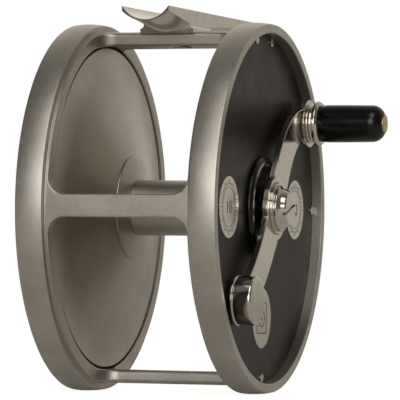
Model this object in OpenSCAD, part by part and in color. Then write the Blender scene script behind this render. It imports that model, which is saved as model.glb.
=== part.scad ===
// Wide salmon fly reel: one-piece frame, saddle foot, direct-drive spool with an S crank,
// a counterweight, a click and a rear drag knob.
// The origin is on the centre line of the rod, over the middle of the spool.
// +X runs along the spool's axle towards the crank, +Y along the rod, +Z up.

/* [Frame] */
// Outer radius of the two rims at their edges
rim_r = 54; // [48:0.5:60]
// Width of one rim along the axle
rim_w = 8; // [6:0.5:10]
// Overall width of the frame, from the rear face to the front face
frame_w = 59.6; // [56:0.2:64]
// Step from the rims down to the pillars' outer surface
rim_step = 2.2; // [1.5:0.1:3]
// Wall of the cage, measured inwards from the pillars' outer surface
cage_wall = 3.9; // [3:0.1:5]
// Width that each rim carries on past its step before the windows start
window_lip = 1; // [0.5:0.1:2]
// Thickness of the lip that stands round the side plates
lip_wall = 2.9; // [2:0.1:3.5]
// Depth of the side plates below the faces of the rims
plate_recess = 3.1; // [2:0.1:4]
// Rounding of the rims' outer edges
rim_round = 0.4; // [0.3:0.1:1.5]
// Height of the rims' gentle crown above their edges
rim_crown = 0.3; // [0:0.1:0.6]

/* [Pillars] */
// Width of the three plain pillars
pillar_w = 6.7; // [5:0.1:9]
// Width of the top pillar, which carries the foot
foot_pillar_w = 18; // [14:0.5:22]
// Radius of the windows' corners
window_corner_r = 4.2; // [2:0.1:6]

/* [Foot] */
// Radius of the saddle, which is the radius of the rod's reel seat
saddle_r = 8.2; // [7:0.1:10]
// Height of the rod's centre line above the spool's axle
axle_drop = 62; // [60:0.5:66]
// Half of the foot's width
foot_half_w = 7.1; // [6:0.1:8]
// Length of the foot's near wing, from the middle of the reel
foot_near = 29; // [24:1:34]
// Length of the foot's far wing, from the middle of the reel
foot_far = 53; // [40:1:56]
// Height of the foot's top edges above the axle
foot_top = 57.7; // [56:0.1:60]
// Height of the centre line of the wings' conical underside above the axle
wing_axis = 63.4; // [62:0.1:66]
// Radius of the underside at the wings' tips
wing_tip_r = 10; // [9.8:0.1:11]
// Radius of the underside at the stand
wing_root_r = 12; // [11.5:0.1:13]
// Half of the stand's length along the rod
stand_half_l = 9.8; // [8:0.1:11]
// Flare of the stand's sides where it meets the pillar
stand_flare = 1.1; // [0:0.1:2]

/* [Side plates] */
// Thickness of the two side plates
plate_t = 2.3; // [1.8:0.1:3]
// Radius of the circle of plate screws
screw_circle_r = 49.5; // [49:0.1:50]
// Radius of a plate screw's head
screw_head_r = 1.3; // [1:0.1:1.5]
// Radius of the three inlaid discs
inlay_r = 8.8; // [7:0.1:9.5]
// Distance of the inlaid discs from the axle
inlay_circle_r = 32; // [30:0.5:34]
// Height of the inlaid discs above the plate
inlay_proud = 0.15; // [0.1:0.05:0.3]
// Outer radius of the front bearing's cover
cover_r = 15.3; // [14:0.1:17]
// Height of the front bearing's cover above the plate
cover_h = 1.7; // [1.2:0.1:2]

/* [Spool] */
// Outer radius of the spool's flanges
flange_r = 47.2; // [44:0.1:47.4]
// Thickness of a flange
flange_t = 1.5; // [1.2:0.1:2]
// Slope of a flange's dome, in degrees
flange_slope = 16.4; // [12:0.2:17]
// Radius where a flange's slope starts to flatten towards its rim
flange_bend_r = 37; // [30:1:40]
// Radius of the arbor
arbor_r = 8.15; // [7:0.05:10]
// Half of the arbor's length
arbor_half_l = 11.5; // [10:0.1:12]
// Radius of the hub discs that clamp the flanges
hub_r = 15.3; // [13:0.1:18]
// Radius of the spindle
spindle_r = 4; // [3.5:0.1:4.2]

/* [Bearings] */
// Outer radius of both ball bearings
bearing_r = 8; // [7.5:0.1:8.5]
// Width of both ball bearings
bearing_w = 4.6; // [4:0.1:5]
// Number of balls in a bearing
ball_count = 12; // [8:1:14]
// Radius of a ball
ball_r = 0.95; // [0.8:0.05:0.95]

/* [Crank] */
// Thickness of the crank's plate
crank_t = 1.9; // [1.5:0.1:2.5]
// Radius of the crank's middle disc
crank_hub_r = 9.2; // [8:0.1:11]
// Handle's place beside the axle, along the rod
knob_y = 32.5; // [30:0.1:34]
// Handle's place above the axle
knob_z = 25.9; // [24:0.1:27]
// Counterweight's place beside the axle, along the rod
weight_y = -26.5; // [-28:0.1:-24]
// Counterweight's place below the axle
weight_z = -26.6; // [-28:0.1:-24]
// Radius of the counterweight
weight_r = 7; // [6:0.1:7.5]
// Height of the crank screw's head above its washer
crank_screw_h = 3.3; // [2.5:0.1:4]

/* [Handle] */
// Radius of the handle's grip
grip_r = 5.6; // [5:0.1:6.5]
// Length of the handle's grip
grip_l = 19.4; // [16:0.2:22]
// Rounding of the grip's free end
grip_round = 3.4; // [2:0.1:3.5]
// Radius of the ferrule at the grip's root
ferrule_r = 6.7; // [6:0.1:7]
// Radius of the collar between the crank and the handle
collar_r = 6; // [5:0.1:6.5]
// Radius of the handle's spindle
knob_spindle_r = 2; // [1.6:0.1:2.4]

/* [Drag and click] */
// Outer radius of the drag knob
drag_knob_r = 15; // [13:0.5:18]
// Length of the drag knob
drag_knob_l = 6.9; // [6.5:0.1:9]
// Number of flutes round the drag knob
flute_count = 24; // [16:1:32]
// Number of teeth on the click wheel, a multiple of 12
click_teeth = 48; // [36:12:60]
// Tip radius of the click wheel's teeth
click_r = 8.5; // [7.5:0.1:9]
// Outer radius of the drag's friction disc
drag_disc_r = 15; // [13:0.1:15]
// Gap between the pressure plate and the friction disc with the drag slack
drag_gap = 0.5; // [0.45:0.05:0.8]

/* [Hidden] */
$fn = 96;

// Colours
satin = "#9a9488";
matte_black = "#2c2927";
gloss_black = "#0d0c0c";
nickel = "#c9c2b8";
brass = "#b8935f";
steel = "#8f8f92";
cork = "#a5764a";

// Small lengths used all over the part
eps = 0.01;
fit = 0.05;
overcut = 2;

// Frame, derived
frame_half = frame_w / 2;
step_x = frame_half - rim_w;
window_x = step_x - window_lip;
cage_r = rim_r - rim_step;
bore_r = cage_r - cage_wall;
lip_r = rim_r - lip_wall;
plate_out_x = frame_half - plate_recess;
plate_in_x = plate_out_x - plate_t;
screw_r = 0.8;
screw_l = 2.4;
screw_head_h = 0.4;
slot_w = 0.5;
front_screw_angles = [0, 81.7, 98.3, 180, 270];
rear_screw_angles = [30, 90, 150, 210, 270, 330];

// Foot, derived
saddle_bottom = axle_drop - saddle_r;
foot_screw_r = 1.5;
foot_screw_y = 5.2;
foot_screw_head_r = 2.7;
foot_screw_head_h = 2.2;
foot_screw_head_z = bore_r - 0.5;

// Side plates, derived
inlay_depth = 0.5;
housing_r = 11;
housing_x = plate_in_x - 2.6;
spindle_hole_r = spindle_r + 0.3;
thrust_pin_r = 1;
thrust_circle_r = 12.5;
thrust_angles = [100, 220, 340];
boss_r = 10;
boss_end_x = -plate_out_x - 4;

// Spool, derived
hub_in_x = arbor_half_l + 1.4;
flange_in_x = hub_in_x + 0.4;
flange_back_x = flange_in_x + flange_t;
flange_arc_r = (flange_r - flange_bend_r) / sin(flange_slope);
flange_bend_x = flange_in_x + (flange_bend_r - hub_r) * tan(flange_slope);
flange_rim_x = flange_bend_x + flange_arc_r * (1 - cos(flange_slope));
spindle_front_x = plate_out_x + 4.5;
spindle_rear_x = -plate_out_x + 0.3;

// Bearings, derived
race_wall = 1;
race_relief = 0.4;
ball_circle_r = (bearing_r + spindle_r) / 2;
front_bearing_x = housing_x + 0.3;
rear_bearing_x = -front_bearing_x - bearing_w;

// Crank and handle, derived
crank_x = plate_out_x + 2.7;
crank_face_x = crank_x + crank_t;
washer_r = 7.7;
washer_t = 0.8;
shank_r = 2.5;
shank_l = 5;
knob_end_r = 7.1;
collar_l = 1.5;
ferrule_l = 2;
ferrule_x = crank_face_x + collar_l + 0.2;
grip_x = ferrule_x + ferrule_l;
grip_end_x = grip_x + grip_l;
spindle_head_r = 2.8;
spindle_head_l = 2.1;
bush_r = 3.2;
weight_x = plate_out_x + 0.7;
weight_face_x = crank_face_x + 2.7;
weight_flange_r = weight_r + 0.3;

// Drag and click, derived
drag_disc_t = 2;
drag_disc_x = -flange_back_x - drag_disc_t;
pressure_t = 1.5;
pressure_x = drag_disc_x - drag_gap - pressure_t;
click_t = 1.4;
click_x = pressure_x - 0.8 - click_t;
tooth_h = 0.8;
pawl_t = 1.2;
pawl_y = 9.5;
pawl_z = 9.5;
pawl_boss_r = 2.1;
pawl_pin_r = 1;
spring_wire_r = 0.3;
drag_knob_x = -plate_out_x - 0.4;

// Points of an arc about a centre, from one angle to another
function arc(cx, cy, r, from, to, n) =
    [for (i = [0 : n]) let (a = from + (to - from) * i / n) [cx + r * cos(a), cy + r * sin(a)]];

// A point on a quadratic curve, and the curve's direction there
function bezier(a, b, c, t) = (1 - t) * (1 - t) * a + 2 * t * (1 - t) * b + t * t * c;
function bezier_dir(a, b, c, t) =
    let (d = (1 - t) * (b - a) + t * (c - b)) d / norm(d);

// Moves its children from the axle's frame to the part's frame
module on_axle(y = 0, z = 0) {
    translate([0, y, z - axle_drop]) children();
}

// Turns a profile of (radius, x) about a line along X
module lathe(y = 0, z = 0) {
    on_axle(y, z) rotate([0, 90, 0]) rotate_extrude() children();
}

// A rod along X from one x to another, in the axle's frame
module rod_x(r, from_x, to_x) {
    translate([from_x, 0, 0]) rotate([0, 90, 0]) cylinder(r = r, h = to_x - from_x);
}

// Places its children on a circle about the axle, in the Y-Z plane
module round_axle(radius, angles) {
    for (a = angles) rotate([a, 0, 0]) translate([0, radius, 0]) children();
}

// ---- Frame ----

// Half of the frame's section, from the middle to one face, as (radius, x)
function frame_half_section(s) = [
    [bore_r, s * plate_in_x],
    [lip_r, s * plate_in_x],
    each [for (p = arc(lip_r + 0.5, frame_half - 0.5, 0.5, 180, 90, 3)) [p[0], s * p[1]]],
    each [for (p = arc(rim_r - rim_round, frame_half - rim_round, rim_round, 90, 12, 5)) [p[0], s * p[1]]],
    each [for (t = [-0.8:0.2:0.8]) [rim_r + rim_crown * (1 - t * t), s * (frame_half - rim_w / 2 - t * rim_w / 2)]],
    each [for (p = arc(rim_r - rim_round, step_x + rim_round, rim_round, -12, -90, 5)) [p[0], s * p[1]]],
    [cage_r, s * step_x]
];

function reversed(v) = [for (i = [len(v) - 1 : -1 : 0]) v[i]];

// Plan of a pillar, with the windows' round corners at both ends
module pillar_plan(width) {
    square([2 * window_x + 2 * overcut, width], center = true);
    for (s = [-1, 1]) difference() {
        translate([s * (window_x + overcut / 2 - window_corner_r / 2), 0])
            square([window_corner_r + overcut, width + 2 * window_corner_r], center = true);
        for (t = [-1, 1])
            translate([s * (window_x - window_corner_r), t * (width / 2 + window_corner_r)])
                circle(r = window_corner_r);
    }
}

// Plan of a pillar extruded outwards from the axle, towards the given angle from +Y
module pillar_block(width, angle) {
    rotate([angle - 90, 0, 0]) linear_extrude(rim_r + overcut) pillar_plan(width);
}

// The part of the cage's wall that the windows take away
module windows() {
    difference() {
        rod_x(rim_r + overcut, -window_x, window_x);
        translate([-overcut, 0, 0]) rod_x(bore_r - overcut, -window_x, window_x + 2 * overcut);
        pillar_block(foot_pillar_w, 90);
        pillar_block(pillar_w, 0);
        pillar_block(pillar_w, 180);
        pillar_block(pillar_w, 270);
    }
}

module frame() {
    color(satin) difference() {
        lathe() polygon(concat(
            frame_half_section(1), reversed(frame_half_section(-1))));
        on_axle() {
            windows();
            round_axle(screw_circle_r, front_screw_angles)
                rod_x(screw_r, plate_in_x - screw_l, plate_in_x + eps);
            round_axle(screw_circle_r, rear_screw_angles)
                rod_x(screw_r, -plate_in_x - eps, -plate_in_x + screw_l);
            for (s = [-1, 1]) translate([0, s * foot_screw_y, 0]) {
                translate([0, 0, bore_r - overcut]) cylinder(r = foot_screw_r, h = 10);
                foot_screw_head();
                translate([0, 0, foot_screw_head_z - 1]) cylinder(r = foot_screw_head_r, h = 1 + eps);
            }
        }
    }
}

// ---- Foot ----

// Countersunk head of a foot screw, about level with the cage's bore
module foot_screw_head() {
    translate([0, 0, foot_screw_head_z])
        cylinder(r1 = foot_screw_head_r, r2 = foot_screw_r, h = foot_screw_head_h);
}

// Solid of the two wings before the saddle is cut
module wings() {
    intersection() {
        translate([-foot_half_w, -foot_near, cage_r - overcut])
            cube([2 * foot_half_w, foot_near + foot_far, foot_top - cage_r + overcut]);
        translate([0, 0, wing_axis]) rotate([-90, 0, 0]) rotate_extrude()
            polygon([
                [0, -foot_near - overcut],
                [wing_tip_r - 0.2, -foot_near - overcut],
                [wing_root_r, -stand_half_l],
                [wing_root_r, stand_half_l],
                [wing_tip_r, foot_far + overcut],
                [0, foot_far + overcut]
            ]);
    }
}

// Stand between the wings and the pillar, with flared sides
module stand() {
    side = arc(foot_half_w + stand_flare, cage_r + 1.6, stand_flare, 180, 270, 6);
    right = concat([[foot_half_w, cage_r + 2.2]], side, [[foot_half_w + stand_flare, cage_r - overcut]]);
    left = [for (p = reversed(right)) [-p[0], p[1]]];
    rotate([90, 0, 0]) translate([0, 0, -stand_half_l])
        linear_extrude(2 * stand_half_l) polygon(concat(right, left));
}

module foot() {
    color(nickel) on_axle() difference() {
        union() {
            wings();
            stand();
        }
        translate([0, -foot_near - overcut, axle_drop]) rotate([-90, 0, 0])
            cylinder(r = saddle_r, h = foot_near + foot_far + 2 * overcut);
        rod_x(cage_r, -foot_half_w - overcut, foot_half_w + overcut);
        for (s = [-1, 1]) translate([0, s * foot_screw_y, bore_r])
            cylinder(r = foot_screw_r, h = saddle_bottom - bore_r - 0.8);
    }
}

module foot_screws() {
    color(steel) on_axle() for (s = [-1, 1]) translate([0, s * foot_screw_y, 0]) difference() {
        union() {
            foot_screw_head();
            translate([0, 0, bore_r]) cylinder(r = foot_screw_r, h = saddle_bottom - bore_r - 1);
        }
        translate([-foot_screw_head_r, -slot_w / 2, foot_screw_head_z - eps])
            cube([2 * foot_screw_head_r, slot_w, 0.8]);
    }
}

// ---- Side plates ----

module face_plate() {
    color(matte_black) difference() {
        lathe() polygon([
            [housing_r + fit, plate_in_x],
            [lip_r - fit, plate_in_x],
            [lip_r - fit, plate_out_x],
            [housing_r + fit, plate_out_x]
        ]);
        on_axle() {
            round_axle(screw_circle_r, front_screw_angles)
                rod_x(screw_r + fit, plate_in_x - overcut, plate_out_x + overcut);
            round_axle(inlay_circle_r, [0, 180, 270])
                rod_x(inlay_r + fit, plate_out_x - inlay_depth, plate_out_x + overcut);
        }
    }
}

// A slotted screw with its head on the plate's face, pointing along +X
module plate_screw() {
    difference() {
        union() {
            rod_x(screw_r, plate_in_x - screw_l, plate_out_x + eps);
            rod_x(screw_head_r, plate_out_x, plate_out_x + screw_head_h);
        }
        translate([plate_out_x + screw_head_h / 2, -screw_head_r - eps, -slot_w / 2])
            cube([screw_head_h, 2 * screw_head_r + 2 * eps, slot_w]);
    }
}

module face_screws() {
    color(nickel) on_axle() round_axle(screw_circle_r, front_screw_angles) plate_screw();
}

module inlay(angle) {
    color(nickel) on_axle() rotate([angle, 0, 0]) translate([0, inlay_circle_r, 0])
        rod_x(inlay_r, plate_out_x - inlay_depth, plate_out_x + inlay_proud);
}

module number_disc_near() {
    inlay(180);
}

module number_disc_far() {
    inlay(0);
}

module badge_disc() {
    inlay(270);
}

// Cover with a beaded edge outside the plate and the front bearing's housing behind it
module bearing_cover() {
    bead_w = 2.4;
    bead_x = plate_out_x + cover_h - bead_w / 2;
    color(gloss_black) lathe() polygon(concat(
        [
            [bearing_r, housing_x],
            [housing_r, housing_x],
            [housing_r, plate_out_x],
            [cover_r, plate_out_x]
        ],
        arc(cover_r - bead_w / 2, bead_x, bead_w / 2, 0, 150, 10),
        [
            [cover_r - bead_w - 0.6, plate_out_x + cover_h - 0.7],
            [spindle_r + 3.2, plate_out_x + cover_h - 0.7],
            [spindle_r + 2.8, plate_out_x + cover_h],
            [spindle_hole_r, plate_out_x + cover_h],
            [spindle_hole_r, front_bearing_x + bearing_w + race_relief],
            [bearing_r - race_wall, front_bearing_x + bearing_w + race_relief],
            [bearing_r - race_wall, front_bearing_x + bearing_w],
            [bearing_r, front_bearing_x + bearing_w]
        ]));
}

module rear_cover() {
    color(matte_black) difference() {
        lathe() polygon([
            [bearing_r, -housing_x],
            [boss_r, -housing_x],
            [boss_r, -plate_in_x],
            [lip_r - fit, -plate_in_x],
            [lip_r - fit, -plate_out_x],
            [boss_r, -plate_out_x],
            [boss_r, boss_end_x],
            [2, boss_end_x],
            [2, rear_bearing_x - 1],
            [bearing_r - race_wall, rear_bearing_x - 1],
            [bearing_r - race_wall, rear_bearing_x],
            [bearing_r, rear_bearing_x]
        ]);
        on_axle() {
            round_axle(screw_circle_r, rear_screw_angles)
                rod_x(screw_r + fit, -plate_out_x - overcut, -plate_in_x + overcut);
            round_axle(thrust_circle_r, thrust_angles)
                rod_x(thrust_pin_r + fit, -plate_out_x - overcut, -plate_in_x + overcut);
            translate([0, pawl_y, pawl_z]) rod_x(pawl_pin_r, -plate_out_x + 1, -plate_in_x + overcut);
        }
    }
}

module rear_screws() {
    color(nickel) on_axle() mirror([1, 0, 0]) round_axle(screw_circle_r, rear_screw_angles) plate_screw();
}

// ---- Bearings ----

module race(inner, outer, x) {
    color(steel) lathe() translate([inner, x]) square([outer - inner, bearing_w]);
}

module balls(x) {
    color(steel) on_axle() round_axle(ball_circle_r, [for (i = [1 : ball_count]) i * 360 / ball_count])
        translate([x + bearing_w / 2, 0, 0]) sphere(r = ball_r, $fn = 24);
}

module front_bearing_outer() {
    race(bearing_r - race_wall, bearing_r, front_bearing_x);
}

module front_bearing_balls() {
    balls(front_bearing_x);
}

module front_bearing_inner() {
    race(spindle_r, spindle_r + race_wall, front_bearing_x);
}

module rear_bearing_outer() {
    race(bearing_r - race_wall, bearing_r, rear_bearing_x);
}

module rear_bearing_balls() {
    balls(rear_bearing_x);
}

module rear_bearing_inner() {
    race(spindle_r, spindle_r + race_wall, rear_bearing_x);
}

// ---- Spool ----

// Section of the front flange: a dome that slopes in towards the arbor and flattens at its rim
function flange_section() = concat(
    [[spindle_r, flange_in_x], [hub_r, flange_in_x]],
    [for (i = [0 : 10]) let (a = flange_slope * (1 - i / 10))
        [flange_r - 0.4 - (flange_arc_r - 0.4) * sin(a), flange_rim_x - flange_arc_r * (1 - cos(a))]],
    [
        [flange_r, flange_rim_x + 0.4],
        [flange_r, flange_rim_x + flange_t],
        [flange_bend_r, flange_bend_x + flange_t + 0.3],
        [hub_r + 1, flange_back_x + 0.2],
        [hub_r, flange_back_x],
        [spindle_r, flange_back_x]
    ]);

// Section of the front hub disc
function hub_section() = [
    [spindle_r, arbor_half_l],
    [arbor_r, arbor_half_l],
    [hub_r - 0.2, hub_in_x - 0.05],
    [hub_r, hub_in_x + 0.1],
    [hub_r, flange_in_x],
    [spindle_r, flange_in_x]
];

function mirrored_x(points) = reversed([for (p = points) [p[0], -p[1]]]);

module front_flange() {
    color(satin) lathe() polygon(flange_section());
}

module rear_flange() {
    color(satin) lathe() polygon(mirrored_x(flange_section()));
}

module front_hub() {
    color(satin) lathe() polygon(hub_section());
}

module rear_hub() {
    color(satin) lathe() polygon(mirrored_x(hub_section()));
}

module arbor() {
    color(satin) lathe() translate([spindle_r, -arbor_half_l])
        square([arbor_r - spindle_r, 2 * arbor_half_l]);
}

module spindle() {
    color(steel) on_axle() difference() {
        rod_x(spindle_r, spindle_rear_x, spindle_front_x);
        rod_x(shank_r, crank_face_x - shank_l, spindle_front_x + overcut);
    }
}

// ---- Crank and handle ----

// Outline of one arm: a curve from the hub to an end, with a width that changes along it
module arm(bend, end, w_hub, w_end) {
    steps = 14;
    points = [for (i = [0 : steps]) let (
        t = i / steps,
        p = bezier([0, 0], bend, end, t),
        d = bezier_dir([0, 0], bend, end, t),
        w = w_hub + (w_end - w_hub) * t
    ) [p + w * [-d[1], d[0]] / 2, p - w * [-d[1], d[0]] / 2]];
    polygon(concat([for (p = points) p[0]], [for (i = [steps : -1 : 0]) points[i][1]]));
}

// A plan in the (y, z) plane made into a plate from one x to another
module plate_x(from_x, thickness) {
    translate([from_x, 0, 0]) multmatrix([[0, 0, 1, 0], [1, 0, 0, 0], [0, 1, 0, 0], [0, 0, 0, 1]])
        linear_extrude(thickness) children();
}

module crank() {
    color(nickel) on_axle() difference() {
        union() {
            rod_x(crank_hub_r, crank_x, crank_face_x);
            plate_x(crank_x, crank_t) arm([12, 27.6], [knob_y, knob_z], 13, 7.8);
            plate_x(crank_x, crank_t) arm([-11.5, -18], [weight_y, weight_z], 12, 10);
            translate([0, knob_y, knob_z]) rod_x(knob_end_r, crank_x, crank_face_x);
            translate([0, weight_y, weight_z]) rod_x(weight_r - 0.6, crank_x, crank_face_x);
        }
        rod_x(spindle_r, crank_x - overcut, crank_face_x + overcut);
        translate([0, knob_y, knob_z]) rod_x(knob_spindle_r, crank_x - overcut, crank_face_x + overcut);
        translate([0, weight_y, weight_z]) rod_x(weight_r - 2, crank_x - overcut, crank_face_x + overcut);
    }
}

module crank_washer() {
    color(nickel) lathe() translate([shank_r, crank_face_x]) square([washer_r - shank_r, washer_t]);
}

// Slotted screw that holds the crank, with a tapered head
module crank_screw() {
    head_x = crank_face_x + washer_t;
    face_x = head_x + crank_screw_h;
    face_r = 4.9;
    slot_depth = 1;
    slot = 0.9;
    color(nickel) on_axle() difference() {
        rotate([0, 90, 0]) rotate_extrude() polygon([
            [0, crank_face_x - shank_l + 0.5],
            [shank_r, crank_face_x - shank_l + 0.5],
            [shank_r, head_x],
            [6.8, head_x],
            [6.6, head_x + 0.7],
            [face_r + 0.3, face_x - 0.3],
            [face_r, face_x],
            [0, face_x]
        ]);
        rotate([18, 0, 0]) translate([face_x - slot_depth, -washer_r, -slot / 2])
            cube([slot_depth + eps, 2 * washer_r, slot]);
    }
}

// Turned collar between the crank and the handle
module knob_collar() {
    x = crank_face_x;
    color(nickel) lathe(knob_y, knob_z) polygon(concat(
        [[knob_spindle_r, x], [collar_r - 0.4, x]],
        arc(collar_r - 0.5, x + 0.5, 0.5, -60, 60, 5),
        [[collar_r - 0.7, x + 1.1], [collar_r - 0.8, x + collar_l], [knob_spindle_r, x + collar_l]]));
}

// Fixed spindle that the handle turns on, with its head in the grip's end
module knob_spindle() {
    color(brass) lathe(knob_y, knob_z) polygon(concat(
        [
            [0, crank_x],
            [knob_spindle_r, crank_x],
            [knob_spindle_r, grip_end_x - spindle_head_l + 0.2],
            [spindle_head_r, grip_end_x - spindle_head_l + 0.2]
        ],
        arc(spindle_head_r - 0.3, grip_end_x, 0.3, 0, 70, 3),
        [[0, grip_end_x + 0.4]]));
}

module ferrule() {
    color(nickel) lathe(knob_y, knob_z) polygon(concat(
        [[bush_r, ferrule_x], [ferrule_r - 0.5, ferrule_x]],
        arc(ferrule_r - 0.6, ferrule_x + 0.6, 0.6, -80, 0, 4),
        arc(ferrule_r - 0.6, grip_x - 0.6, 0.6, 0, 80, 4),
        [[bush_r, grip_x]]));
}

module grip() {
    color(gloss_black) lathe(knob_y, knob_z) polygon(concat(
        [[bush_r, grip_x], [grip_r - 0.1, grip_x], [grip_r, grip_x + 2]],
        arc(grip_r - grip_round, grip_end_x - grip_round, grip_round, 0, 80, 8),
        [
            [spindle_head_r + 0.15, grip_end_x],
            [spindle_head_r + 0.15, grip_end_x - spindle_head_l],
            [bush_r, grip_end_x - spindle_head_l]
        ]));
}

module grip_bushes() {
    color(brass) for (x = [ferrule_x, grip_end_x - spindle_head_l - 4.2])
        lathe(knob_y, knob_z) translate([knob_spindle_r + fit, x])
            square([bush_r - knob_spindle_r - fit, 4]);
}

module counterweight() {
    color(nickel) lathe(weight_y, weight_z) polygon(concat(
        [[0, weight_x], [weight_flange_r - 0.3, weight_x]],
        arc(weight_flange_r - 0.45, weight_x + 0.5, 0.45, -60, 60, 4),
        [[weight_r - 0.1, weight_x + 1.1], [weight_r, crank_x], [weight_r - 2, crank_x],
            [weight_r - 2, crank_face_x], [weight_r, crank_face_x]],
        arc(weight_r - 0.9, weight_face_x - 0.9, 0.9, 0, 80, 5),
        [[0, weight_face_x]]));
}

// ---- Drag ----

module drag_disc() {
    color(cork) lathe() translate([arbor_r, drag_disc_x]) square([drag_disc_r - arbor_r, drag_disc_t]);
}

module pressure_plate() {
    color(steel) lathe() translate([spindle_r + 2.2, pressure_x])
        square([drag_disc_r + 0.5 - spindle_r - 2.2, pressure_t]);
}

module thrust_pins() {
    color(steel) on_axle() round_axle(thrust_circle_r, thrust_angles)
        rod_x(thrust_pin_r, drag_knob_x + 0.15, pressure_x);
}

module drag_knob() {
    end_x = drag_knob_x - drag_knob_l;
    color(nickel) difference() {
        lathe() polygon([
            [boss_r + 0.08, drag_knob_x],
            [drag_knob_r - 0.6, drag_knob_x],
            [drag_knob_r, drag_knob_x - 0.6],
            [drag_knob_r, end_x + 1.6],
            [drag_knob_r - 1.6, end_x],
            [4.1, end_x],
            [4.1, end_x + 1.3],
            [2.08, end_x + 1.3],
            [2.08, boss_end_x - 0.3],
            [boss_r + 0.08, boss_end_x - 0.3]
        ]);
        on_axle() round_axle(drag_knob_r + 0.9, [for (i = [1 : flute_count]) i * 360 / flute_count])
            rod_x(1.5, end_x - overcut, drag_knob_x - 0.9);
    }
}

// Screw that keeps the drag knob on its boss
module knob_retainer() {
    end_x = drag_knob_x - drag_knob_l;
    color(steel) on_axle() difference() {
        union() {
            rod_x(4, end_x + 0.1, end_x + 1.2);
            rod_x(2, end_x + 1.1, rear_bearing_x - 1.5);
        }
        translate([end_x, -4 - eps, -slot_w]) cube([0.7, 8 + 2 * eps, 2 * slot_w]);
    }
}

// ---- Click ----

module click_wheel() {
    pitch = 360 / click_teeth;
    root_r = click_r - tooth_h;
    points = [for (i = [0 : click_teeth - 1]) each [
        [root_r * cos(i * pitch), root_r * sin(i * pitch)],
        [click_r * cos((i + 0.5) * pitch), click_r * sin((i + 0.5) * pitch)]
    ]];
    color(steel) on_axle() difference() {
        plate_x(click_x, click_t) polygon(points);
        rod_x(spindle_r, click_x - overcut, click_x + click_t + overcut);
    }
}

// Pawl with its nose in a gap between two teeth
module click_pawl() {
    nose_r = click_r - tooth_h + 0.25;
    color(steel) on_axle() difference() {
        union() {
            plate_x(click_x + 0.1, pawl_t) polygon([
                [nose_r, 0],
                [click_r + 0.1, 0.38],
                [click_r + 0.6, 1.2],
                [pawl_y - pawl_boss_r + 0.6, pawl_z - 0.4],
                [pawl_y + pawl_boss_r - 0.1, pawl_z],
                [pawl_y + 2.2, 1],
                [pawl_y + 0.6, -1],
                [click_r + 0.4, -0.7],
                [click_r + 0.1, -0.38]
            ]);
            translate([0, pawl_y, pawl_z]) rod_x(pawl_boss_r, click_x + 0.1, click_x + 0.1 + pawl_t);
        }
        translate([0, pawl_y, pawl_z]) rod_x(pawl_pin_r + fit, click_x - overcut, click_x + click_t + overcut);
    }
}

module pawl_pin() {
    color(steel) on_axle(pawl_y, pawl_z) rod_x(pawl_pin_r, -plate_out_x + 1, click_x + click_t + 0.3);
}

// Coil round the pawl's pin with a leg that lies along the pawl
module click_spring() {
    color(steel) {
        for (i = [0 : 2]) lathe(pawl_y, pawl_z)
            translate([pawl_pin_r + 0.6, click_x - 0.6 - i * 0.62]) circle(r = spring_wire_r, $fn = 16);
        on_axle() translate([click_x - 0.6, pawl_y + pawl_pin_r + 0.6, pawl_z])
            rotate([180, 0, 0]) cylinder(r = spring_wire_r, h = 7, $fn = 16);
    }
}

frame();
foot();
foot_screws();
face_plate();
face_screws();
number_disc_near();
number_disc_far();
badge_disc();
bearing_cover();
front_bearing_outer();
front_bearing_balls();
front_bearing_inner();
rear_cover();
rear_screws();
rear_bearing_outer();
rear_bearing_balls();
rear_bearing_inner();
pawl_pin();
click_spring();
click_pawl();
click_wheel();
drag_knob();
knob_retainer();
pressure_plate();
thrust_pins();
drag_disc();
arbor();
rear_flange();
front_flange();
rear_hub();
front_hub();
spindle();
crank();
crank_washer();
crank_screw();
knob_collar();
knob_spindle();
counterweight();
grip();
ferrule();
grip_bushes();
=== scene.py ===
"""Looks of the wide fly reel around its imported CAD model."""

import math

import bpy
import bmesh
from mathutils import Matrix, Vector

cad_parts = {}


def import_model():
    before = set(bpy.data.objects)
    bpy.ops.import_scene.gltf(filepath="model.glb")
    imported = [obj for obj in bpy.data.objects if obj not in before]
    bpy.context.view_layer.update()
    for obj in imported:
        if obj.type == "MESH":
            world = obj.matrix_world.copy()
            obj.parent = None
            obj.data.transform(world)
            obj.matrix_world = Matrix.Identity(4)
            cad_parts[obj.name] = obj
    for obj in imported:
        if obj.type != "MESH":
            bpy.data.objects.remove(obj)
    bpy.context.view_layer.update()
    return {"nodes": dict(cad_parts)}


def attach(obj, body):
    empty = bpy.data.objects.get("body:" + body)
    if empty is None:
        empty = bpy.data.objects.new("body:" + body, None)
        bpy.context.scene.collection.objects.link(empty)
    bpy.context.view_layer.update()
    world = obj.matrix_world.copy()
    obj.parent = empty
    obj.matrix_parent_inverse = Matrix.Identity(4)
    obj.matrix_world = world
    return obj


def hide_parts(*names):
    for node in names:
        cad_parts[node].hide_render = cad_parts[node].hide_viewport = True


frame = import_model()

# The reel's sizes are in millimetres, measured from the spool's axle at the middle of the reel.
MM = 0.001
AXLE_Z = -62.0
TURN = 2 * math.pi

# Frame: radii of the rims, cage and bore, distances from the middle plane, and the pillars' widths
RIM_R, CAGE_R, BORE_R, LIP_R = 54.0, 51.8, 47.9, 51.1
HALF_W, STEP_X, WINDOW_X = 29.8, 21.8, 20.8
PLATE_IN_X, PLATE_OUT_X = 24.4, 26.7
CORNER_R = 4.8
PILLAR_W, FOOT_PILLAR_W = 6.7, 18.0

# Crank: (y, z) of the handle and the counterweight, the plate's back and face, the washer's face, the screw
KNOB = (32.5, 25.9)
WEIGHT = (-26.5, -26.6)
CRANK_X, CRANK_FACE_X = 29.4, 31.3
WASHER_FACE_X = CRANK_FACE_X + 0.8
SCREW_STEM_R = 2.5


# ---------------------------------------------------------------- mesh helpers


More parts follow.
